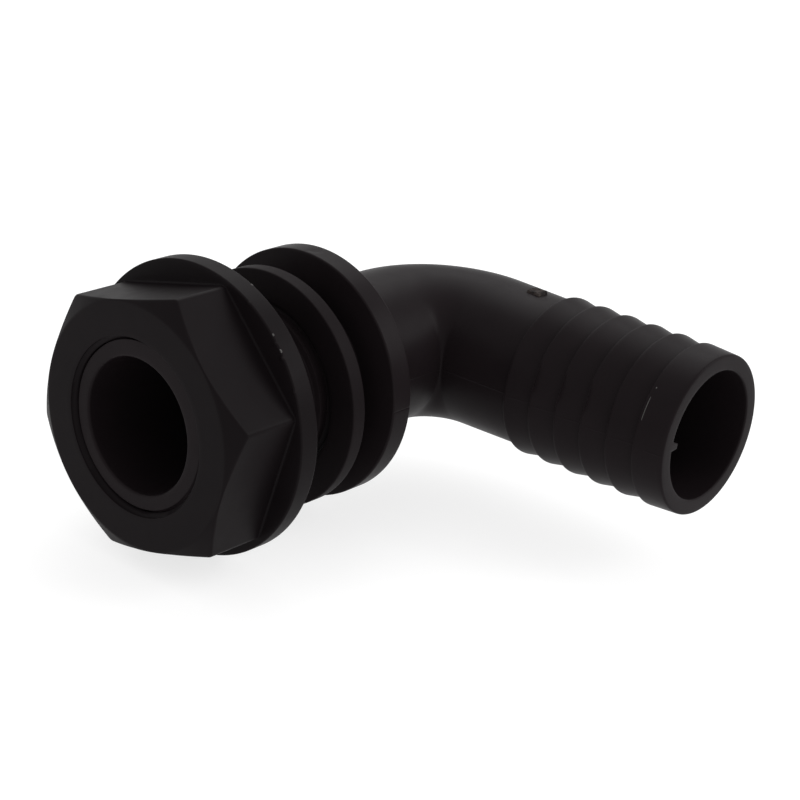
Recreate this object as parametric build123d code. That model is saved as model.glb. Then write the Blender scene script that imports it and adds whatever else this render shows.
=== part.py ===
"""Ninety degree thru hull hose fitting: elbow body, loose flat gasket and flanged hex nut.

Millimetres. The thread axis is X and the body flange's sealing face is at x = 0.
The nut is on the -X side, the hose tail leaves the elbow along -Y, and Z is up.
"""

from build123d import *
import math
import os

# Threaded shank
SHANK_END_X = -37.6
SHANK_WALL_END_X = 0.6
THREAD_MAJOR_R = 14.9
THREAD_ROOT_R = 14.1
THREAD_PITCH = 3.0
THREAD_CREST_W = 0.5
THREAD_FLANK_DEG = 30.0
THREAD_STOP_X = -3.0
THREAD_PHASE_DEG = -144.0
SHANK_LIP = 0.4
INLET_BORE_R = 11.5
INLET_EDGE = 0.8

# Flange between the shank and the elbow
FLANGE_R = 22.1
FLANGE_T = 4.4
FLANGE_EDGE = 0.35
FLANGE_ROOT_FILLET = 1.2

# Elbow
ELBOW_X = 36.1
ELBOW_BEND_R = 14.4
PIPE_R = 14.0

# Hose tail
TAIL_BORE_R = 11.5
TAIL_END_D = 61.7
BARB_COUNT = 6
BARB_FIRST_D = 28.8
BARB_PITCH = 5.42
BARB_CREST_R = 14.65
BARB_ROOT_R = 13.6
BARB_LAND = 0.35
MOUTH_R = 14.3
MOUTH_EDGE = 0.4

# Trimmed moulding gate on top of the tail
GATE_D = 22.6
GATE_LEN = 3.0
GATE_W = 2.6
GATE_H = 0.45
GATE_DEG = 88.0

# Gasket
GASKET_FRONT_X = -8.75
GASKET_T = 2.9
GASKET_R = 20.95
GASKET_BORE_R = 15.65
GASKET_EDGE = 0.25
GASKET_DROP = 0.67

# Flanged nut
NUT_FRONT_X = -38.28
NUT_FLANGE_FRONT_X = -25.76
NUT_BACK_X = -21.96
NUT_FLANGE_R = 25.2
NUT_FLANGE_EDGE = 0.35
NUT_FLATS = 42.0
NUT_FACE_INSET = 0.2
NUT_CHAMFER_DEG = 30.0
NUT_MOUTH_R = 15.1
NUT_MOUTH_LEN = 0.2
NUT_MINOR_R = 14.35
NUT_MAJOR_R = 15.15
NUT_LEAD_IN = 0.8
NUT_TURN_DEG = 45.3
THREAD_SIDE_GAP = 0.22

OVERRUN = 0.5
X_AXIS = Axis((0, 0, 0), (1, 0, 0))
TAIL_AXIS = Axis((ELBOW_X, 0, 0), (0, -1, 0))


def turned(points, axis=X_AXIS):
    """Solid of revolution of a closed outline that lies in the XY plane."""
    outline = Polyline(*points, close=True)
    return revolve(make_face(outline), axis, 360)


def corner(x, r, sx, sr, size):
    """Points of a rounded corner at (x, r); sx and sr point from the corner into the body."""
    steps = 6
    angles = [math.pi / 2 * i / steps for i in range(steps + 1)]
    return [
        (x + sx * size * (1 - math.sin(a)), r + sr * size * (1 - math.cos(a)))
        for a in angles
    ]


def helical_cutter(first_x, last_x, inner_r, outer_r, width_at, phase_deg):
    """Helical trapezoid between two radii, right handed about +X; phase_deg turns it about X."""
    turn = 360 * first_x / THREAD_PITCH + phase_deg
    mid_r = (inner_r + outer_r) / 2
    path = Helix(THREAD_PITCH, last_x - first_x, mid_r)
    half_in, half_out = width_at(inner_r) / 2, width_at(outer_r) / 2
    outline = Polyline(
        (inner_r, 0, -half_in),
        (outer_r, 0, -half_out),
        (outer_r, 0, half_out),
        (inner_r, 0, half_in),
        close=True,
    )
    groove = sweep(make_face(outline), path, is_frenet=True)
    return Pos(first_x, 0, 0) * Rot(turn, 0, 0) * Rot(0, 90, 0) * groove


def ridge_width(r):
    """Axial width of the male thread's ridge at a radius."""
    return THREAD_CREST_W + 2 * (THREAD_MAJOR_R - r) * math.tan(math.radians(THREAD_FLANK_DEG))


def shank_groove_width(r):
    return THREAD_PITCH - ridge_width(r)


def nut_groove_width(r):
    return ridge_width(r) + 2 * THREAD_SIDE_GAP


def threaded_shank():
    lip = [
        (SHANK_END_X, 0),
        (SHANK_END_X, THREAD_MAJOR_R - SHANK_LIP),
        (SHANK_END_X + SHANK_LIP, THREAD_MAJOR_R),
        (SHANK_WALL_END_X, THREAD_MAJOR_R),
        (SHANK_WALL_END_X, 0),
    ]
    groove = helical_cutter(
        SHANK_END_X - THREAD_PITCH,
        THREAD_STOP_X,
        THREAD_ROOT_R,
        THREAD_MAJOR_R + OVERRUN,
        shank_groove_width,
        THREAD_PHASE_DEG,
    )
    return turned(lip) - groove


def body_flange():
    front = corner(0, FLANGE_R, 1, -1, FLANGE_EDGE)
    back = corner(FLANGE_T, FLANGE_R, -1, -1, FLANGE_EDGE)
    root = corner(FLANGE_T, PIPE_R, 1, 1, FLANGE_ROOT_FILLET)
    outline = [(0, 0), *reversed(front), *back, *root[::-1], (FLANGE_T + FLANGE_ROOT_FILLET, 0)]
    return turned(outline)


def tail_outline():
    """Outline of the hose tail as (distance from the elbow, radius) pairs."""
    points = [(ELBOW_BEND_R, PIPE_R), (BARB_FIRST_D, PIPE_R - 0.3)]
    for i in range(BARB_COUNT):
        d = BARB_FIRST_D + i * BARB_PITCH
        points += [(d, BARB_CREST_R), (d + BARB_LAND, BARB_CREST_R)]
        if i < BARB_COUNT - 1:
            points.append((d + BARB_PITCH, BARB_ROOT_R))
    return points + corner(TAIL_END_D, MOUTH_R, -1, -1, MOUTH_EDGE)


def hose_tail():
    outline = [(ELBOW_BEND_R, 0), *tail_outline(), (TAIL_END_D, 0)]
    return turned([(ELBOW_X + r, -d) for d, r in outline], TAIL_AXIS)


def bend(radius):
    """Quarter bend of a round bar from the X run to the tail."""
    start = Plane(
        origin=(ELBOW_X - ELBOW_BEND_R, 0, 0), x_dir=(0, 1, 0), z_dir=(1, 0, 0)
    )
    centre = Axis((ELBOW_X - ELBOW_BEND_R, -ELBOW_BEND_R, 0), (0, 0, -1))
    return revolve(start * Circle(radius), centre, 90)


def run(radius, first_x, last_x):
    """Round bar along the thread axis."""
    return Pos((first_x + last_x) / 2, 0, 0) * Rot(0, 90, 0) * Cylinder(radius, last_x - first_x)


def tail_bar(radius, first_d, last_d):
    """Round bar along the tail's axis."""
    middle = -(first_d + last_d) / 2
    return Pos(ELBOW_X, middle, 0) * Rot(90, 0, 0) * Cylinder(radius, last_d - first_d)


def gate():
    """Low block left where the moulding gate was cut off."""
    block = Pos(PIPE_R - 1 + GATE_H / 2, 0, 0) * Box(2 + GATE_H, GATE_LEN, GATE_W)
    return Pos(ELBOW_X, -GATE_D, 0) * Rot(0, -GATE_DEG, 0) * block


def inlet_edge():
    """Cutter for the rounded edge where the water enters the shank."""
    edge = corner(SHANK_END_X, INLET_BORE_R, 1, 1, INLET_EDGE)
    first_x, last_x = SHANK_END_X - OVERRUN, SHANK_END_X + INLET_EDGE
    return turned([(first_x, 0), (first_x, INLET_BORE_R + INLET_EDGE), *reversed(edge), (last_x, 0)])


def elbow_body():
    bend_x = ELBOW_X - ELBOW_BEND_R
    outside = threaded_shank() + body_flange() + run(PIPE_R, FLANGE_T / 2, bend_x)
    outside = outside + bend(PIPE_R) + hose_tail() + gate()
    inside = run(INLET_BORE_R, SHANK_END_X - OVERRUN, bend_x) + inlet_edge()
    inside = inside + bend(TAIL_BORE_R) + tail_bar(TAIL_BORE_R, ELBOW_BEND_R, TAIL_END_D + OVERRUN)
    return outside - inside


def gasket():
    x0, x1 = GASKET_FRONT_X, GASKET_FRONT_X + GASKET_T
    outline = [
        *corner(x0, GASKET_BORE_R, 1, 1, GASKET_EDGE),
        *corner(x0, GASKET_R, 1, -1, GASKET_EDGE)[::-1],
        *corner(x1, GASKET_R, -1, -1, GASKET_EDGE),
        *corner(x1, GASKET_BORE_R, -1, 1, GASKET_EDGE)[::-1],
    ]
    return Pos(0, 0, -GASKET_DROP) * turned(outline)


def flange_nut():
    corner_r = NUT_FLATS / math.sqrt(3)
    face_r = NUT_FLATS / 2 - NUT_FACE_INSET
    length = NUT_FLANGE_FRONT_X - NUT_FRONT_X + NUT_FLANGE_EDGE
    hexagon = extrude(Plane.YZ * RegularPolygon(corner_r, 6), length)
    hexagon = Pos(NUT_FRONT_X, 0, 0) * Rot(NUT_TURN_DEG, 0, 0) * hexagon
    slope = math.tan(math.radians(NUT_CHAMFER_DEG))
    drop = (corner_r + OVERRUN - face_r) * slope
    envelope = turned(
        [
            (NUT_FRONT_X, 0),
            (NUT_FRONT_X, face_r),
            (NUT_FRONT_X + drop, corner_r + OVERRUN),
            (NUT_BACK_X, corner_r + OVERRUN),
            (NUT_BACK_X, 0),
        ]
    )
    flange = turned(
        [
            (NUT_FLANGE_FRONT_X, 0),
            *corner(NUT_FLANGE_FRONT_X, NUT_FLANGE_R, 1, -1, NUT_FLANGE_EDGE)[::-1],
            *corner(NUT_BACK_X, NUT_FLANGE_R, -1, -1, NUT_FLANGE_EDGE),
            (NUT_BACK_X, 0),
        ]
    )
    opening = turned(
        [
            (NUT_FRONT_X - OVERRUN, 0),
            (NUT_FRONT_X - OVERRUN, NUT_MOUTH_R),
            (NUT_FRONT_X + NUT_MOUTH_LEN, NUT_MOUTH_R),
            (NUT_FRONT_X + NUT_MOUTH_LEN + NUT_LEAD_IN, NUT_MINOR_R),
            (NUT_BACK_X - NUT_LEAD_IN, NUT_MINOR_R),
            (NUT_BACK_X, NUT_MAJOR_R),
            (NUT_BACK_X + OVERRUN, NUT_MAJOR_R),
            (NUT_BACK_X + OVERRUN, 0),
        ]
    )
    groove = helical_cutter(
        NUT_FRONT_X - THREAD_PITCH,
        NUT_BACK_X + THREAD_PITCH,
        NUT_MINOR_R - OVERRUN,
        NUT_MAJOR_R,
        nut_groove_width,
        THREAD_PHASE_DEG + 180,
    )
    return (hexagon & envelope) + flange - opening - groove


PARTS = {"elbow_body": elbow_body, "gasket": gasket, "flange_nut": flange_nut}

os.makedirs("parts", exist_ok=True)
for name, make in PARTS.items():
    export_step(make(), os.path.join("parts", name + ".step"))
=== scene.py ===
"""Looks of the ninety degree thru hull hose fitting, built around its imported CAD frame.

Shapes are worked out in millimetres in the row's frame, and scaled to metres as each mesh is made.
The thread axis is X, the body flange's sealing face is at x = 0, and the hose tail leaves along -Y.
"""

import math

import bmesh
import bpy
import numpy as np
from mathutils import Matrix, Vector

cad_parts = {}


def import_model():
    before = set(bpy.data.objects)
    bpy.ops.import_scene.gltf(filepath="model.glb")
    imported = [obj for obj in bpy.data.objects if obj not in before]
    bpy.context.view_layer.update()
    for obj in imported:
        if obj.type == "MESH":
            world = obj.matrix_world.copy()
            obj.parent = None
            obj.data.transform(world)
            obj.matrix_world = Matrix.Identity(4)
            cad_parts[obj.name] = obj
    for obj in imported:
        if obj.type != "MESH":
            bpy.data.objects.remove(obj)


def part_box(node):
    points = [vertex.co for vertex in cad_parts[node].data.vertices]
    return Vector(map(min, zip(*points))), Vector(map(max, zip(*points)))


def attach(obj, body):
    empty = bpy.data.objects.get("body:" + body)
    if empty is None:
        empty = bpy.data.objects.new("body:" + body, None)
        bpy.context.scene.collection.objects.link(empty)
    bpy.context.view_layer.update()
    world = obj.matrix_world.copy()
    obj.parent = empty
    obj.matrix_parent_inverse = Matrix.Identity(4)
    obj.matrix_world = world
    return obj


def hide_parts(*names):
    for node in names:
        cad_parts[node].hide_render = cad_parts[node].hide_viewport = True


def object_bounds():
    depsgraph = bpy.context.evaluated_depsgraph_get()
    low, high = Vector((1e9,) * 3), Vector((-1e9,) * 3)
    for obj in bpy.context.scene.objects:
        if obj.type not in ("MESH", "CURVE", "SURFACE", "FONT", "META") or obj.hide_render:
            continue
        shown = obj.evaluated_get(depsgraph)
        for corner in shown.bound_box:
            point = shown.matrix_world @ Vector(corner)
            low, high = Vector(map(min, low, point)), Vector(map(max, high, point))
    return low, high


# One millimetre, in metres
MM = 0.001

# End of the shank; its lip is a little finer than the CAD's chamfer
SHANK_LIP = 0.25
SHANK_EDGE = 0.15
INLET_FACE_W = 0.2

# Thread and bore of the shank, as in the CAD
THREAD_MAJOR_R = 14.9
THREAD_ROOT_R = 14.1
THREAD_PITCH = 3.0
THREAD_CREST_W = 0.5
THREAD_FLANK_TAN = math.tan(math.radians(30))
THREAD_PHASE = math.radians(-144)
THREAD_STOP_X = -3.0
INLET_BORE_R = 11.5
INLET_EDGE = 0.8

# Roundings of the threads and the length over which the thread fades, which the CAD leaves out
THREAD_CREST_EDGE = 0.1
THREAD_ROOT_EDGE = 0.18
NUT_CREST_EDGE = 0.14
THREAD_FADE = 0.7

# Body flange, elbow and hose tail, as in the CAD
FLANGE_R = 22.1
FLANGE_T = 4.4
FLANGE_EDGE = 0.35
FLANGE_ROOT_FILLET = 1.2
PIPE_R = 14.0
TAIL_BORE_R = 11.5
BEND_R = 14.4
BARB_COUNT = 6
BARB_FIRST_D = 28.8
BARB_PITCH = 5.42
BARB_CREST_R = 14.65
BARB_ROOT_R = 13.6
BARB_LAND = 0.35
BARB_NECK = 0.3
MOUTH_R = 14.3
MOUTH_EDGE = 0.4
GATE_D = 22.6
GATE_LEN = 3.0
GATE_W = 2.6
GATE_H = 0.45
GATE_ANGLE = math.radians(88)

# Roundings of the body, and the gate's torn top, which the CAD leaves out
SHANK_ROOT_FILLET = 0.15
BARB_FOOT_FILLET = 0.12
BARB_STEP_EDGE = 0.1
BARB_SLOPE_EDGE = 0.8
BARB_ROOT_FILLET = 0.15
MOUTH_INNER_EDGE = 0.3
GATE_SUNK = 0.6
GATE_TORN_H = 0.15
GATE_SLOPE = 0.12

# Gasket and nut, as in the CAD
GASKET_BORE_R = 15.65
GASKET_EDGE = 0.25
NUT_FLANGE_FRONT_X = -25.76
NUT_FLANGE_EDGE = 0.35
NUT_FLATS = 42.0
NUT_FACE_INSET = 0.2
NUT_CHAMFER_TAN = math.tan(math.radians(30))
NUT_TURN = math.radians(45.3)
NUT_MOUTH_R = 15.1
NUT_MOUTH_LEN = 0.2
NUT_MINOR_R = 14.35
NUT_MAJOR_R = 15.15
NUT_LEAD_IN = 0.8
THREAD_SIDE_GAP = 0.22

# Roundings of the nut that the CAD leaves out, and its rim's finer edge
HEX_CORNER_EDGE = 1.0
HEX_ROOT_FILLET = 0.4
HEX_CHAMFER_EDGE = 0.6
NUT_FACE_EDGE = 1.2
NUT_RIM_EDGE = 0.3
NUT_MOUTH_EDGE = 0.2

# Marks that the moulds left: seams, flash on the nut's rim, dimple, barb nicks and the mouth's tab
SEAM_ANGLES = (0, math.pi)
SEAM_H = 0.045
FLASH_ANGLES = [math.radians(a) for a in (118, 136, 142, 155, 262, 338)]
FLASH_H = (0.25, 0.3, 0.5, 0.25, 0.35, 0.3)
FLASH_HALF_ANGLE = 0.009
FLASH_SPREAD = 0.8
SEAM_HALF_W = 0.10
RIM_SEAM_DEPTH = 0.072
DIMPLE_H = 0.25
DIMPLE_HALF_W = 0.9
DIMPLE_HALF_LEN = 1.0
NICKED_BARBS = (1, 2, 3)
NICK_H = 0.3
NICK_HALF_W = 0.2
NICK_HALF_LEN = 2.2
BARB_NICK_ANGLE = math.radians(160)
TAB_ANGLE = math.radians(175)
TAB_OUT = 1.6
TAB_HALF_W = 0.75
TAB_LEN = 1.4
TAB_SIDE_SLOPE = 0.18
TAB_BACK_SLOPE = 0.25
TAB_ROW_D = 1.2

# Pale slivers, with angles in degrees: a painted highlight on the flash of the tail (distance, angle,
# half angle, half width), and pale specks on the rim of the nut's flange (distance behind its front,
# angle, half angle)
TAIL_PAINTED_HIGHLIGHTS = ((56.45, 153, 9.5, 0.09), (56.6, 138, 0.7, 0.14))
RIM_SPECKS = ((3.5, 110.5, 0.5), (0.3, 133, 0.5), (0.2, 139.5, 0.7))
RIM_SPECK_HALF_W = 0.18
SLIVER_H = 0.12
SLIVER_SUNK = 0.03

# Gloss, and the stage in metres
ROUGHNESS_SPREAD = 0.07
FLOOR_HALF = 6.0
FLOOR_GAP = 0.0002
SENSOR_W = 36.0

# Fineness of the meshes
ARC_STEPS = 5
OUTSIDE_STEP = 0.8
INSIDE_STEP = 1.2
NUT_STEP = 0.9
GASKET_STEP = 0.7
BODY_RING = 216
NUT_RING = 216
GASKET_RING = 240
SCAR_STEPS = 25
SLIVER_STEPS = (9, 21)
SEAM_OFFSETS = (0, 0.003, 0.006, 0.009, 0.013, 0.018, 0.026, 0.037)
CORNER_OFFSETS = (0, 0.004, 0.008, 0.012, 0.018, 0.026)


def rounded(corners, closed=False):
    """Rows of an outline given as (x, r, rounding) corners, each rounding an exact arc.

    A corner's x and r may be arrays over the ring's angles, and every row is then one too.
    """
    spots = [np.stack(np.broadcast_arrays(x, r), -1).astype(float) for x, r, _ in corners]
    rows = []
    count = len(corners)
    for i, (_, _, size) in enumerate(corners):
        here = spots[i]
        if size == 0 or (not closed and i in (0, count - 1)):
            rows.append(here)
            continue
        back = spots[i - 1] - here
        ahead = spots[(i + 1) % count] - here
        back_len = np.linalg.norm(back, axis=-1, keepdims=True)
        ahead_len = np.linalg.norm(ahead, axis=-1, keepdims=True)
        back, ahead = back / back_len, ahead / ahead_len
        facing = np.clip((back * ahead).sum(-1, keepdims=True), -1, 1)
        half_turn = (math.pi - np.arccos(facing)) / 2
        reach = np.minimum(size * np.tan(half_turn), 0.45 * np.minimum(back_len, ahead_len))
        weight = np.cos(half_turn)
        for s in np.linspace(0, 1, ARC_STEPS + 1):
            a, b, c = (1 - s) ** 2, 2 * weight * s * (1 - s), s**2
            spot = a * (here + back * reach) + b * here + c * (here + ahead * reach)
            rows.append(spot / (a + b + c))
    return rows


def subdivided(rows, step):
    """The same rows with more between any two that are further apart than step."""
    out = [rows[0]]
    for a, b in zip(rows, rows[1:]):
        parts = max(1, math.ceil(np.linalg.norm(b - a, axis=-1).max() / step))
        out += [a + (b - a) * i / parts for i in range(1, parts + 1)]
    return out


def ring_angles(count, fine_spots, fine_offsets):
    """Angles round a ring: evenly spaced, and closer together on both sides of each fine spot."""
    even = np.arange(count) * math.tau / count
    keep = np.ones(count, bool)
    for spot in fine_spots:
        gap = np.abs((even - spot + math.pi) % math.tau - math.pi)
        keep &= gap > max(fine_offsets) + 0.3 * math.tau / count
    offsets = [side * offset for offset in fine_offsets for side in (-1, 1)]
    fine = [(spot + offset) % math.tau for spot in fine_spots for offset in offsets]
    return np.unique(np.round(np.concatenate([even[keep], fine]), 8))


def angle_from(angle, spot):
    """Signed angle from a spot, between -pi and pi."""
    return (angle - spot + math.pi) % math.tau - math.pi


def thread_profile():
    """One pitch of the male thread between groove centres, as (offset, radius) points."""
    half_crest = THREAD_CREST_W / 2
    half_base = half_crest + (THREAD_MAJOR_R - THREAD_ROOT_R) * THREAD_FLANK_TAN
    middle = THREAD_PITCH / 2
    corners = [
        (0, THREAD_ROOT_R, 0),
        (middle - half_base, THREAD_ROOT_R, THREAD_ROOT_EDGE),
        (middle - half_crest, THREAD_MAJOR_R, THREAD_CREST_EDGE),
        (middle + half_crest, THREAD_MAJOR_R, THREAD_CREST_EDGE),
        (middle + half_base, THREAD_ROOT_R, THREAD_ROOT_EDGE),
        (THREAD_PITCH, THREAD_ROOT_R, 0),
    ]
    return np.array(rounded(corners))


def nut_profile():
    """One pitch of the nut's thread between the same offsets, its groove over the male ridge."""
    middle = THREAD_PITCH / 2

    def half_width(r):
        return THREAD_CREST_W / 2 + (THREAD_MAJOR_R - r) * THREAD_FLANK_TAN + THREAD_SIDE_GAP

    corners = [
        (0, NUT_MINOR_R, 0),
        (middle - half_width(NUT_MINOR_R), NUT_MINOR_R, NUT_CREST_EDGE),
        (middle - half_width(NUT_MAJOR_R), NUT_MAJOR_R, THREAD_ROOT_EDGE),
        (middle + half_width(NUT_MAJOR_R), NUT_MAJOR_R, THREAD_ROOT_EDGE),
        (middle + half_width(NUT_MINOR_R), NUT_MINOR_R, NUT_CREST_EDGE),
        (THREAD_PITCH, NUT_MINOR_R, 0),
    ]
    return np.array(rounded(corners))


def radius_on_helix(profile, x, angle):
    """The thread's radius at x and an angle, from its one pitch profile."""
    offset = (x - THREAD_PITCH * ((angle - THREAD_PHASE) / math.tau + 0.25)) % THREAD_PITCH
    return np.interp(offset, profile[:, 0], profile[:, 1])


def helix_rows(profile, angle, first_x, last_x, shape):
    """Rows that follow the thread's edges from first_x to last_x, and the rows in one pitch.

    shape(x, r) gives the radius where an end's chamfer or fade changes it.
    """
    pitches = math.ceil((last_x - first_x) / THREAD_PITCH) + 2
    lead = THREAD_PITCH * (0.25 - THREAD_PHASE / math.tau)
    start = first_x - THREAD_PITCH
    start -= (start - lead) % THREAD_PITCH
    rows = []
    for turn in range(pitches + 1):
        for offset in profile[:-1, 0]:
            x = start + turn * THREAD_PITCH + offset + THREAD_PITCH * angle / math.tau
            x = np.clip(x, first_x, last_x)
            rows.append(np.stack([x, shape(x, radius_on_helix(profile, x, angle))], -1))
    return rows, len(profile) - 1


def grid_mesh(name, grid, thread_rows, rows_in_pitch):
    """Closed mesh over a grid of points in millimetres.

    The grid's rows are rings, and the last row joins the first. thread_rows is the (first, last) rows
    that follow a helix: there a ring's end meets the ring one pitch on.
    """
    rows, ring = grid.shape[:2]
    i = np.arange(rows)[:, None]
    j = np.arange(ring - 1)[None, :]
    ahead = (i + 1) % rows
    here, ahead = i * ring + j, ahead * ring + j
    quads = [np.stack([here, here + 1, ahead + 1, ahead], -1).reshape(-1, 4)]
    first, last = thread_rows
    for row in range(rows):
        on_helix = first <= row < last
        shift = rows_in_pitch if on_helix else 0
        if on_helix and row + 1 + shift > last:
            continue
        after = (row + 1) % rows
        end, after_end = row * ring + ring - 1, after * ring + ring - 1
        quads.append([[end, (row + shift) * ring, (after + shift) * ring, after_end]])
    mesh = bpy.data.meshes.new(name)
    mesh.from_pydata((grid.reshape(-1, 3) * MM).tolist(), [], np.concatenate(quads).tolist())
    tidy = bmesh.new()
    tidy.from_mesh(mesh)
    bmesh.ops.remove_doubles(tidy, verts=tidy.verts, dist=0.002 * MM)
    bmesh.ops.dissolve_degenerate(tidy, edges=tidy.edges, dist=0.001 * MM)
    bmesh.ops.recalc_face_normals(tidy, faces=tidy.faces)
    tidy.to_mesh(mesh)
    tidy.free()
    return add_piece(name, mesh)


def add_piece(name, mesh):
    """Smooth shaded object for a mesh, with normals weighted so that flat faces stay flat."""
    mesh.shade_smooth()
    piece = bpy.data.objects.new(name, mesh)
    bpy.context.scene.collection.objects.link(piece)
    weighting = piece.modifiers.new("flat_faces", "WEIGHTED_NORMAL")
    weighting.mode = "FACE_AREA"
    weighting.weight = 80
    return piece


# ---------------------------------------------------------------- elbow body


def centreline(elbow_x):
    """Function from a distance along the water path and a radius and angle to a point."""
    bend_start = elbow_x - BEND_R
    bend_end = bend_start + BEND_R * math.pi / 2

    def place(d, r, angle):
        turn = np.clip((d - bend_start) / BEND_R, 0, math.pi / 2)
        past = np.maximum(d - bend_end, 0)
        out_x, out_y = np.sin(turn), np.cos(turn)
        x = np.where(d < bend_start, d, bend_start + BEND_R * out_x)
        y = -BEND_R + BEND_R * out_y - past
        side = r * np.cos(angle)
        return np.stack([x + side * out_x, y + side * out_y, r * np.sin(angle)], -1)

    return place, bend_start, bend_end


def tail_corners(tail_d, mouth_d):
    """Outline of the hose tail from the bend to the mouth.

    tail_d turns a distance from the elbow into one along the water path.
    """
    corners = [(tail_d(BARB_FIRST_D), PIPE_R - BARB_NECK, BARB_FOOT_FILLET)]
    for i in range(BARB_COUNT):
        d = BARB_FIRST_D + i * BARB_PITCH
        corners.append((tail_d(d), BARB_CREST_R, BARB_STEP_EDGE))
        corners.append((tail_d(d + BARB_LAND), BARB_CREST_R, BARB_SLOPE_EDGE))
        if i < BARB_COUNT - 1:
            corners.append((tail_d(d + BARB_PITCH), BARB_ROOT_R, BARB_ROOT_FILLET))
    corners.append((tail_d(mouth_d), MOUTH_R, MOUTH_EDGE))
    corners.append((tail_d(mouth_d), TAIL_BORE_R, MOUTH_INNER_EDGE))
    corners.append((tail_d(mouth_d - TAB_ROW_D), TAIL_BORE_R, BARB_STEP_EDGE))
    return corners


def make_elbow_body(frame_box):
    low, high = frame_box
    shank_end = low.x / MM
    mouth_d = -low.y / MM
    elbow_x = high.x / MM - BARB_CREST_R
    place, bend_start, bend_end = centreline(elbow_x)

    def tail_d(d):
        return bend_end + d - BEND_R

    seams = [*SEAM_ANGLES, math.pi / 2, TAB_ANGLE]
    angle = ring_angles(BODY_RING, seams, SEAM_OFFSETS)
    profile = thread_profile()
    thread_start = shank_end + SHANK_EDGE

    def shank_shape(x, r):
        lip = THREAD_MAJOR_R - SHANK_LIP + (x - shank_end)
        fade = np.clip((x - THREAD_STOP_X + THREAD_FADE) / THREAD_FADE, 0, 1)
        fade = fade * fade * (3 - 2 * fade)
        return np.minimum(r + (THREAD_MAJOR_R - r) * fade, lip)

    thread_r = radius_on_helix(profile, thread_start, angle)
    start_r = shank_shape(np.full_like(angle, thread_start), thread_r)
    ring_r = INLET_BORE_R + INLET_EDGE + INLET_FACE_W
    lip_r = start_r - SHANK_EDGE
    face = rounded([(shank_end, ring_r, 0), (shank_end, lip_r, SHANK_EDGE), (thread_start, start_r, 0)])
    thread, rows_in_pitch = helix_rows(profile, angle, thread_start, THREAD_STOP_X, shank_shape)
    outside = rounded(
        [
            (THREAD_STOP_X, THREAD_MAJOR_R, 0),
            (0, THREAD_MAJOR_R, SHANK_ROOT_FILLET),
            (0, FLANGE_R, FLANGE_EDGE),
            (FLANGE_T, FLANGE_R, FLANGE_EDGE),
            (FLANGE_T, PIPE_R, FLANGE_ROOT_FILLET),
            (bend_start, PIPE_R, 0),
            (bend_end, PIPE_R, 0),
            *tail_corners(tail_d, mouth_d),
            (bend_end, TAIL_BORE_R, 0),
        ]
    )
    inside = rounded(
        [
            (bend_end, TAIL_BORE_R, 0),
            (bend_start, TAIL_BORE_R, 0),
            (shank_end, INLET_BORE_R, INLET_EDGE),
            (shank_end, ring_r, 0),
        ]
    )
    outside = subdivided(outside, OUTSIDE_STEP)[1:]
    inside = subdivided(inside, INSIDE_STEP)[1:-1]
    rows = [np.broadcast_to(row, (len(angle), 2)) for row in face + thread + outside + inside]
    grid = np.stack(rows)
    first = len(face)
    last = first + len(thread) - 1
    d, r = grid[..., 0], grid[..., 1].copy()
    outer_rows = slice(first, first + len(thread) + len(outside))
    r[outer_rows] += mould_marks(d[outer_rows], tail_d(0), r[outer_rows], angle)
    r -= mouth_tab(d, tail_d(mouth_d), r, angle)
    return grid_mesh("elbow_body_skin", place(d, r, angle), (first, last), rows_in_pitch)


def spot_at(d, r, angle, spot_d, spot_angle, half_d, half_across):
    """1 at a spot on the skin, fading to 0 past its half sizes."""
    across = r * angle_from(angle, spot_angle)
    return np.exp(-(((d - spot_d) / half_d) ** 2) - (across / half_across) ** 4)


def mould_marks(d, tail_start, r, angle):
    """Height of the seams, dimple and nicks on the outside of the body, in millimetres.

    The seam stands out from the pipe and tail, but not from the barb crests, and cuts into the rim.
    """
    height = np.zeros_like(r)
    on_rim = (r > FLANGE_R - 1) & (d < FLANGE_T + 1)
    on_skin = np.clip((r - INLET_BORE_R - 0.9) / 0.4, 0, 1) * (r < BARB_CREST_R - 0.1)
    for spot in SEAM_ANGLES:
        seam = np.exp(-((r * angle_from(angle, spot) / SEAM_HALF_W) ** 2))
        height += seam * (SEAM_H * on_skin - RIM_SEAM_DEPTH * on_rim)
    dimple = spot_at(d, r, angle, FLANGE_T * 0.45, math.pi / 2, DIMPLE_HALF_W, DIMPLE_HALF_LEN)
    height -= DIMPLE_H * dimple * on_rim
    for i in NICKED_BARBS:
        step_d = tail_start + BARB_FIRST_D + i * BARB_PITCH + BARB_LAND / 2
        height -= NICK_H * spot_at(d, r, angle, step_d, BARB_NICK_ANGLE, NICK_HALF_W, NICK_HALF_LEN)
    return height


def mouth_tab(d, mouth_d, r, angle):
    """How far the scrap of flash at the mouth stands into the tail's bore."""
    in_bore = np.abs(r - TAIL_BORE_R) < MOUTH_INNER_EDGE + 0.05
    across = np.abs(TAIL_BORE_R * angle_from(angle, TAB_ANGLE))
    wide = np.clip((TAB_HALF_W - across) / TAB_SIDE_SLOPE, 0, 1)
    deep = np.clip((d - mouth_d + TAB_LEN) / TAB_BACK_SLOPE, 0, 1)
    return TAB_OUT * wide * deep * in_bore


def patch_mesh(name, patches):
    """Piece made of open patches, each a grid of points in millimetres."""
    points, quads = [], []
    for patch in patches:
        rows, columns = patch.shape[:2]
        i, j = np.meshgrid(np.arange(rows - 1), np.arange(columns - 1), indexing="ij")
        here, ahead = i * columns + j, (i + 1) * columns + j
        quad = np.stack([here, ahead, ahead + 1, here + 1], -1).reshape(-1, 4)
        quads.append(quad + sum(len(p) for p in points))
        points.append(patch.reshape(-1, 3))
    mesh = bpy.data.meshes.new(name)
    mesh.from_pydata((np.concatenate(points) * MM).tolist(), [], np.concatenate(quads).tolist())
    return add_piece(name, mesh)


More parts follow.
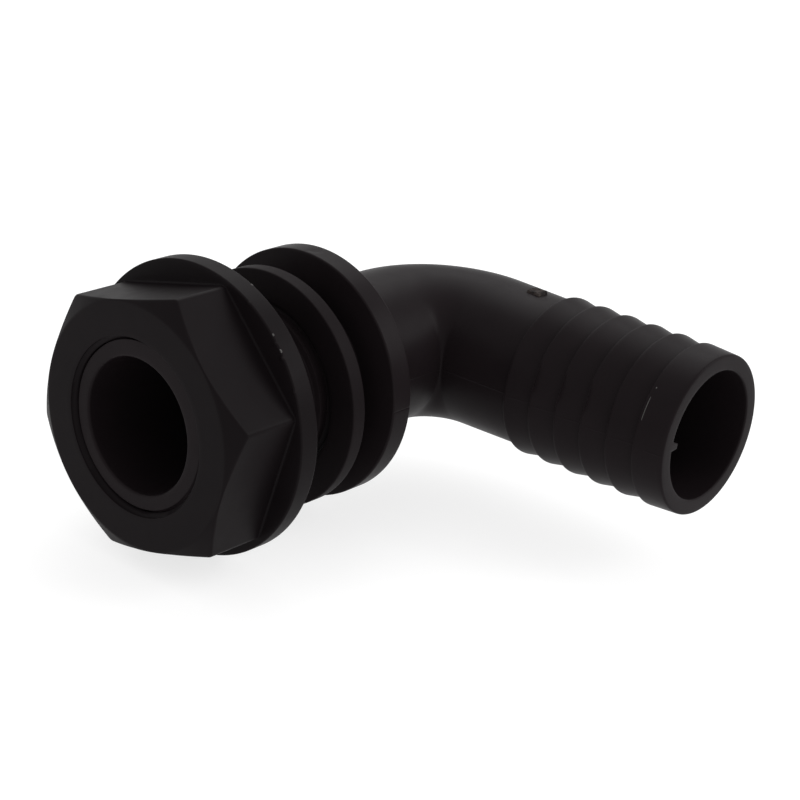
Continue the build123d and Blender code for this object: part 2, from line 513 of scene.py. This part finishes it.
def patch_steps(rows, columns):
    """Two grids that run from -1 to 1 along a patch's rows and its columns."""
    return np.meshgrid(np.linspace(-1, 1, rows), np.linspace(-1, 1, columns), indexing="ij")


def make_gate_scar(frame_box):
    """Top of the block left where the gate was cut off, a little rough and paler than the skin."""
    elbow_x = frame_box[1].x / MM - BARB_CREST_R
    u, v = patch_steps(SCAR_STEPS, SCAR_STEPS)
    edge = np.clip((1 - np.maximum(np.abs(u), np.abs(v))) / GATE_SLOPE, 0, 1)
    torn = 0.10 * np.sin(5 * u + 2.2 * np.sin(4 * v)) * np.cos(6 * v + 1) - 0.10 * v
    height = -GATE_SUNK + edge * (GATE_SUNK + GATE_H - GATE_TORN_H + torn)
    along = GATE_D + u * GATE_LEN / 2
    across = v * GATE_W / 2
    r = PIPE_R + height
    x = elbow_x + r * math.cos(GATE_ANGLE) - across * math.sin(GATE_ANGLE)
    z = r * math.sin(GATE_ANGLE) + across * math.cos(GATE_ANGLE)
    return patch_mesh("gate_scar", [np.stack([x, -along, z], -1)])


def sliver_patch(r, angle, half_angle, half_width):
    """Low sliver on a rim, as its offsets along the rim's axis and two coordinates across it."""
    u, v = patch_steps(*SLIVER_STEPS)
    swollen = r + SLIVER_H * (1 - u**2) * (1 - v**2) - SLIVER_SUNK
    turn = math.radians(angle) + v * math.radians(half_angle)
    return u * half_width, swollen * np.cos(turn), swollen * np.sin(turn)


def tail_painted_highlights(frame_box):
    """Painted highlight: pale slivers on the flash behind the last barb."""
    low, high = frame_box
    elbow_x = high.x / MM - BARB_CREST_R
    crest_end = BARB_FIRST_D + (BARB_COUNT - 1) * BARB_PITCH + BARB_LAND
    drop = (BARB_CREST_R - MOUTH_R) / (-low.y / MM - crest_end)
    patches = []
    for d, angle, half_angle, half_width in TAIL_PAINTED_HIGHLIGHTS:
        r = BARB_CREST_R - drop * (d - crest_end)
        along, across, up = sliver_patch(r, angle, half_angle, half_width)
        patches.append(np.stack([elbow_x + across, -d - along, up], -1))
    return patch_mesh("tail_painted_highlights", patches)


def rim_specks(frame_box):
    """Pale specks on the rim of the nut's flange."""
    flange_r = frame_box[1].y / MM
    patches = []
    for behind, angle, half_angle in RIM_SPECKS:
        along, across, up = sliver_patch(flange_r, angle, half_angle, RIM_SPECK_HALF_W)
        patches.append(np.stack([NUT_FLANGE_FRONT_X + behind + along, across, up], -1))
    return patch_mesh("rim_specks", patches)


# ---------------------------------------------------------------- gasket and nut


def lathe_grid(rows, angle, lift=0.0):
    """Grid of rows turned about the thread axis, raised by lift."""
    grid = np.stack([np.broadcast_to(row, (len(angle), 2)) for row in rows])
    x, r = grid[..., 0], grid[..., 1]
    return np.stack([x, r * np.cos(angle), r * np.sin(angle) + lift], -1)


def make_gasket(frame_box):
    low, high = frame_box
    x0, x1 = low.x / MM, high.x / MM
    outer_r = (high.y - low.y) / 2 / MM
    drop = (high.z + low.z) / 2 / MM
    ring = [(x0, GASKET_BORE_R), (x0, outer_r), (x1, outer_r), (x1, GASKET_BORE_R)]
    rows = rounded([(x, r, GASKET_EDGE) for x, r in ring], closed=True)
    rows = subdivided(rows + rows[:1], GASKET_STEP)[:-1]
    angle = ring_angles(GASKET_RING, [], [0])
    return grid_mesh("gasket_skin", lathe_grid(rows, angle, drop), (0, 0), 0)


def hex_radius(angle, rounding):
    """Radius of the rounded hexagon at each angle."""
    flat = NUT_FLATS / 2
    sixth = math.pi / 3
    phi = np.abs((angle - NUT_TURN + sixth / 2) % sixth - sixth / 2)
    centre = (flat - rounding) / math.cos(sixth / 2)
    touch_across, touch_out = rounding * math.sin(sixth / 2), centre + rounding * math.cos(sixth / 2)
    tangent = math.atan(touch_across / touch_out)
    on_flat = flat / np.cos(sixth / 2 - phi)
    depth = np.maximum(rounding**2 - (centre * np.sin(phi)) ** 2, 0)
    on_corner = centre * np.cos(phi) + np.sqrt(depth)
    return np.where(phi < tangent, on_corner, on_flat)


def make_flange_nut(frame_box):
    low, high = frame_box
    front, back = low.x / MM, high.x / MM
    flange_r = high.y / MM
    corners = [NUT_TURN + i * math.pi / 3 for i in range(6)]
    angle = ring_angles(NUT_RING, corners + FLASH_ANGLES, CORNER_OFFSETS)
    profile = nut_profile()
    first_x, last_x = front + NUT_MOUTH_LEN, back
    flash = np.zeros_like(angle)
    for spot, height in zip(FLASH_ANGLES, FLASH_H):
        flash += height * np.exp(-((angle_from(angle, spot) / FLASH_HALF_ANGLE) ** 2))

    front_slope = (NUT_MOUTH_R - NUT_MINOR_R) / NUT_LEAD_IN
    back_slope = (NUT_MAJOR_R - NUT_MINOR_R) / NUT_LEAD_IN

    def lead_in(x, r):
        at_front = NUT_MOUTH_R - np.maximum(x - first_x, 0) * front_slope
        at_back = NUT_MAJOR_R - np.maximum(back - x, 0) * back_slope
        return np.maximum(r, np.maximum(at_front, at_back))

    thread, rows_in_pitch = helix_rows(profile, angle, first_x, last_x - 0.05, lead_in)
    face_r = NUT_FLATS / 2 - NUT_FACE_INSET
    hexagon = hex_radius(angle, HEX_CORNER_EDGE)
    chamfer_x = front + (hexagon - face_r) * NUT_CHAMFER_TAN
    outside = rounded(
        [
            (back, NUT_MAJOR_R, 0),
            (back, flange_r, NUT_FLANGE_EDGE),
            (NUT_FLANGE_FRONT_X - flash, flange_r, NUT_RIM_EDGE),
            (NUT_FLANGE_FRONT_X, flange_r - FLASH_SPREAD, 0),
            (NUT_FLANGE_FRONT_X, hexagon, HEX_ROOT_FILLET),
            (chamfer_x, hexagon, HEX_CHAMFER_EDGE),
            (front, face_r, NUT_FACE_EDGE),
            (front, NUT_MOUTH_R, NUT_MOUTH_EDGE),
            (first_x, NUT_MOUTH_R, 0),
        ]
    )
    outside = subdivided(outside, NUT_STEP)[:-1]
    rows = [np.broadcast_to(row, (len(angle), 2)) for row in thread + outside]
    grid = lathe_grid(rows, angle)
    return grid_mesh("flange_nut_skin", grid, (0, len(thread) - 1), rows_in_pitch)


# ---------------------------------------------------------------- materials


def linked(tree, kind, **values):
    """New node of a kind with its settings and input defaults given by name."""
    node = tree.nodes.new(kind)
    for name, value in values.items():
        if hasattr(node, name):
            setattr(node, name, value)
        else:
            node.inputs[name.replace("_", " ")].default_value = value
    return node


def moulded_black(name, colour, roughness, grain_scale, grain_depth):
    """Black moulded plastic or rubber: a fine grain, broad flow marks and uneven gloss.

    grain_scale is in waves to the metre and grain_depth in millimetres.
    """
    material = bpy.data.materials.new(name)
    material.use_nodes = True
    tree = material.node_tree
    shader = tree.nodes["Principled BSDF"]
    shader.inputs["IOR"].default_value = 1.48
    shader.inputs["Specular IOR Level"].default_value = 0.04
    link = tree.links.new
    place = tree.nodes.new("ShaderNodeTexCoord")

    flow = linked(tree, "ShaderNodeTexNoise", Scale=70.0, Detail=4.0, Roughness=0.55)
    link(place.outputs["Object"], flow.inputs["Vector"])
    tint = linked(tree, "ShaderNodeMapRange", To_Min=0.75, To_Max=1.3)
    link(flow.outputs["Fac"], tint.inputs["Value"])
    shade = tree.nodes.new("ShaderNodeMix")
    shade.data_type = "RGBA"
    shade.blend_type = "MULTIPLY"
    shade.inputs["Factor"].default_value = 1.0
    shade.inputs["A"].default_value = (*colour, 1)
    link(tint.outputs["Result"], shade.inputs["B"])
    link(shade.outputs["Result"], shader.inputs["Base Color"])

    gloss = linked(tree, "ShaderNodeTexNoise", Scale=260.0, Detail=6.0, Roughness=0.6)
    link(place.outputs["Object"], gloss.inputs["Vector"])
    smoothest, roughest = roughness - ROUGHNESS_SPREAD, roughness + ROUGHNESS_SPREAD
    rough = linked(tree, "ShaderNodeMapRange", To_Min=smoothest, To_Max=roughest)
    link(gloss.outputs["Fac"], rough.inputs["Value"])
    link(rough.outputs["Result"], shader.inputs["Roughness"])

    grain = linked(tree, "ShaderNodeTexNoise", Scale=grain_scale, Detail=3.0, Roughness=0.6)
    link(place.outputs["Object"], grain.inputs["Vector"])
    bump = linked(tree, "ShaderNodeBump", Strength=0.25, Distance=grain_depth * MM)
    link(grain.outputs["Fac"], bump.inputs["Height"])
    link(bump.outputs["Normal"], shader.inputs["Normal"])
    return material


def cut_plastic():
    """Torn black plastic with paler, stressed patches, as where a gate was snapped off."""
    material = bpy.data.materials.new("cut_plastic")
    material.use_nodes = True
    tree = material.node_tree
    shader = tree.nodes["Principled BSDF"]
    shader.inputs["Roughness"].default_value = 0.7
    shader.inputs["Specular IOR Level"].default_value = 0.1
    place = tree.nodes.new("ShaderNodeTexCoord")
    patches = linked(tree, "ShaderNodeTexNoise", Scale=900.0, Detail=4.0, Roughness=0.6)
    tree.links.new(place.outputs["Object"], patches.inputs["Vector"])
    ramp = tree.nodes.new("ShaderNodeValToRGB")
    ramp.color_ramp.elements[0].position = 0.42
    ramp.color_ramp.elements[0].color = (0.008, 0.006, 0.006, 1)
    ramp.color_ramp.elements[1].position = 0.62
    ramp.color_ramp.elements[1].color = (0.05, 0.040, 0.036, 1)
    tree.links.new(patches.outputs["Fac"], ramp.inputs["Fac"])
    tree.links.new(ramp.outputs["Color"], shader.inputs["Base Color"])
    return material


def pale_specks_and_painted_highlight():
    """Pale colour on black plastic: a painted highlight on the tail's flash slivers, and the pale
    specks on the nut's rim.
    """
    material = bpy.data.materials.new("pale_specks_and_painted_highlight")
    material.use_nodes = True
    shader = material.node_tree.nodes["Principled BSDF"]
    shader.inputs["Base Color"].default_value = (0.042, 0.039, 0.037, 1)
    shader.inputs["Roughness"].default_value = 0.6
    return material


def light_table():
    """White acrylic lit from below."""
    material = bpy.data.materials.new("floor_white")
    material.use_nodes = True
    shader = material.node_tree.nodes["Principled BSDF"]
    shader.inputs["Base Color"].default_value = (0.3, 0.3, 0.3, 1)
    shader.inputs["Roughness"].default_value = 0.9
    shader.inputs["Emission Color"].default_value = (1, 1, 1, 1)
    shader.inputs["Emission Strength"].default_value = 0.75
    return material


# ---------------------------------------------------------------- stage, light and camera


def add_floor(level):
    """Plain pale floor at a level."""
    mesh = bpy.data.meshes.new("floor")
    half = FLOOR_HALF
    corners = [(-half, -half, level), (half, -half, level), (half, half, level), (-half, half, level)]
    mesh.from_pydata(corners, [], [(0, 1, 2, 3)])
    mesh.materials.append(light_table())
    floor = bpy.data.objects.new("floor", mesh)
    bpy.context.scene.collection.objects.link(floor)


def add_soft_light(name, place, size, watts):
    """Round soft box at a place, aimed at the frame's origin."""
    lamp = bpy.data.lights.new(name, "AREA")
    lamp.shape = "DISK"
    lamp.size = size
    lamp.energy = watts
    holder = bpy.data.objects.new(name, lamp)
    holder.location = place
    holder.rotation_euler = (-Vector(place)).to_track_quat("-Z", "Y").to_euler()
    bpy.context.scene.collection.objects.link(holder)


def add_world(strength):
    """White tent of even light all round."""
    world = bpy.data.worlds.new("white_tent")
    world.use_nodes = True
    sky = world.node_tree.nodes["Background"]
    sky.inputs["Color"].default_value = (1, 1, 1, 1)
    sky.inputs["Strength"].default_value = strength
    bpy.context.scene.world = world


def add_camera(aim, azimuth, elevation, roll, distance, lens):
    """Camera that looks at aim from an azimuth and elevation, rolled about its own axis.

    Angles are in degrees, distance in metres and lens in millimetres.
    """
    a, e, t = (math.radians(v) for v in (azimuth, elevation, roll))
    back = Vector((math.sin(a) * math.cos(e), -math.cos(a) * math.cos(e), math.sin(e)))
    level = Vector((math.cos(a), math.sin(a), 0))
    above = back.cross(level)
    right = level * math.cos(t) + above * math.sin(t)
    up = above * math.cos(t) - level * math.sin(t)
    lens_data = bpy.data.cameras.new("camera")
    lens_data.lens = lens
    lens_data.sensor_width = SENSOR_W
    camera = bpy.data.objects.new("camera", lens_data)
    turn = Matrix((right, up, back)).transposed().to_4x4()
    camera.matrix_world = Matrix.Translation(Vector(aim) + back * distance) @ turn
    bpy.context.scene.collection.objects.link(camera)
    bpy.context.scene.camera = camera


def main():
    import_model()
    cad_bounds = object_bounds()
    plastic = moulded_black(
        "body_black_plastic",
        colour=(0.0094, 0.0070, 0.0078),
        roughness=0.40,
        grain_scale=5200.0,
        grain_depth=0.02,
    )
    nut_plastic = moulded_black(
        "nut_black_plastic",
        colour=(0.0066, 0.0050, 0.0056),
        roughness=0.46,
        grain_scale=4600.0,
        grain_depth=0.02,
    )
    rubber = moulded_black(
        "black_rubber",
        colour=(0.0088, 0.0066, 0.0073),
        roughness=0.58,
        grain_scale=3800.0,
        grain_depth=0.03,
    )
    pieces = [
        (make_elbow_body, "elbow_body", "body_plastic", plastic),
        (make_gasket, "gasket", "gasket_rubber", rubber),
        (make_flange_nut, "flange_nut", "nut_plastic", nut_plastic),
    ]
    for make, node, slot, material in pieces:
        piece = make(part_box(node))
        piece.data.materials.append(material)
        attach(piece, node)
        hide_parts(node)
    # pale is painted highlight on the tail's flash slivers, and the colour of the nut rim's pale specks
    torn, pale = cut_plastic(), pale_specks_and_painted_highlight()
    marks = [
        (make_gate_scar, "elbow_body", "body_plastic", torn),
        # painted highlight on the flash slivers behind the last barb
        (tail_painted_highlights, "elbow_body", "body_plastic", pale),
        (rim_specks, "flange_nut", "nut_plastic", pale),
    ]
    for make, node, slot, material in marks:
        piece = make(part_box(node))
        piece.data.materials.append(material)
        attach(piece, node)

    add_floor(cad_bounds[0][2] - FLOOR_GAP)
    add_world(strength=0.85)
    add_soft_light("overhead", place=(0.45, 0.35, 0.75), size=0.8, watts=3.5)
    add_soft_light("side", place=(0.6, -0.7, 0.55), size=0.6, watts=4.5)
    add_camera(
        aim=(0.0068, -0.01776, -0.0008),
        azimuth=-51.25,
        elevation=22.5,
        roll=5.43,
        distance=0.3451,
        lens=90.74,
    )
    bpy.context.scene.view_settings.view_transform = "Standard"


main()
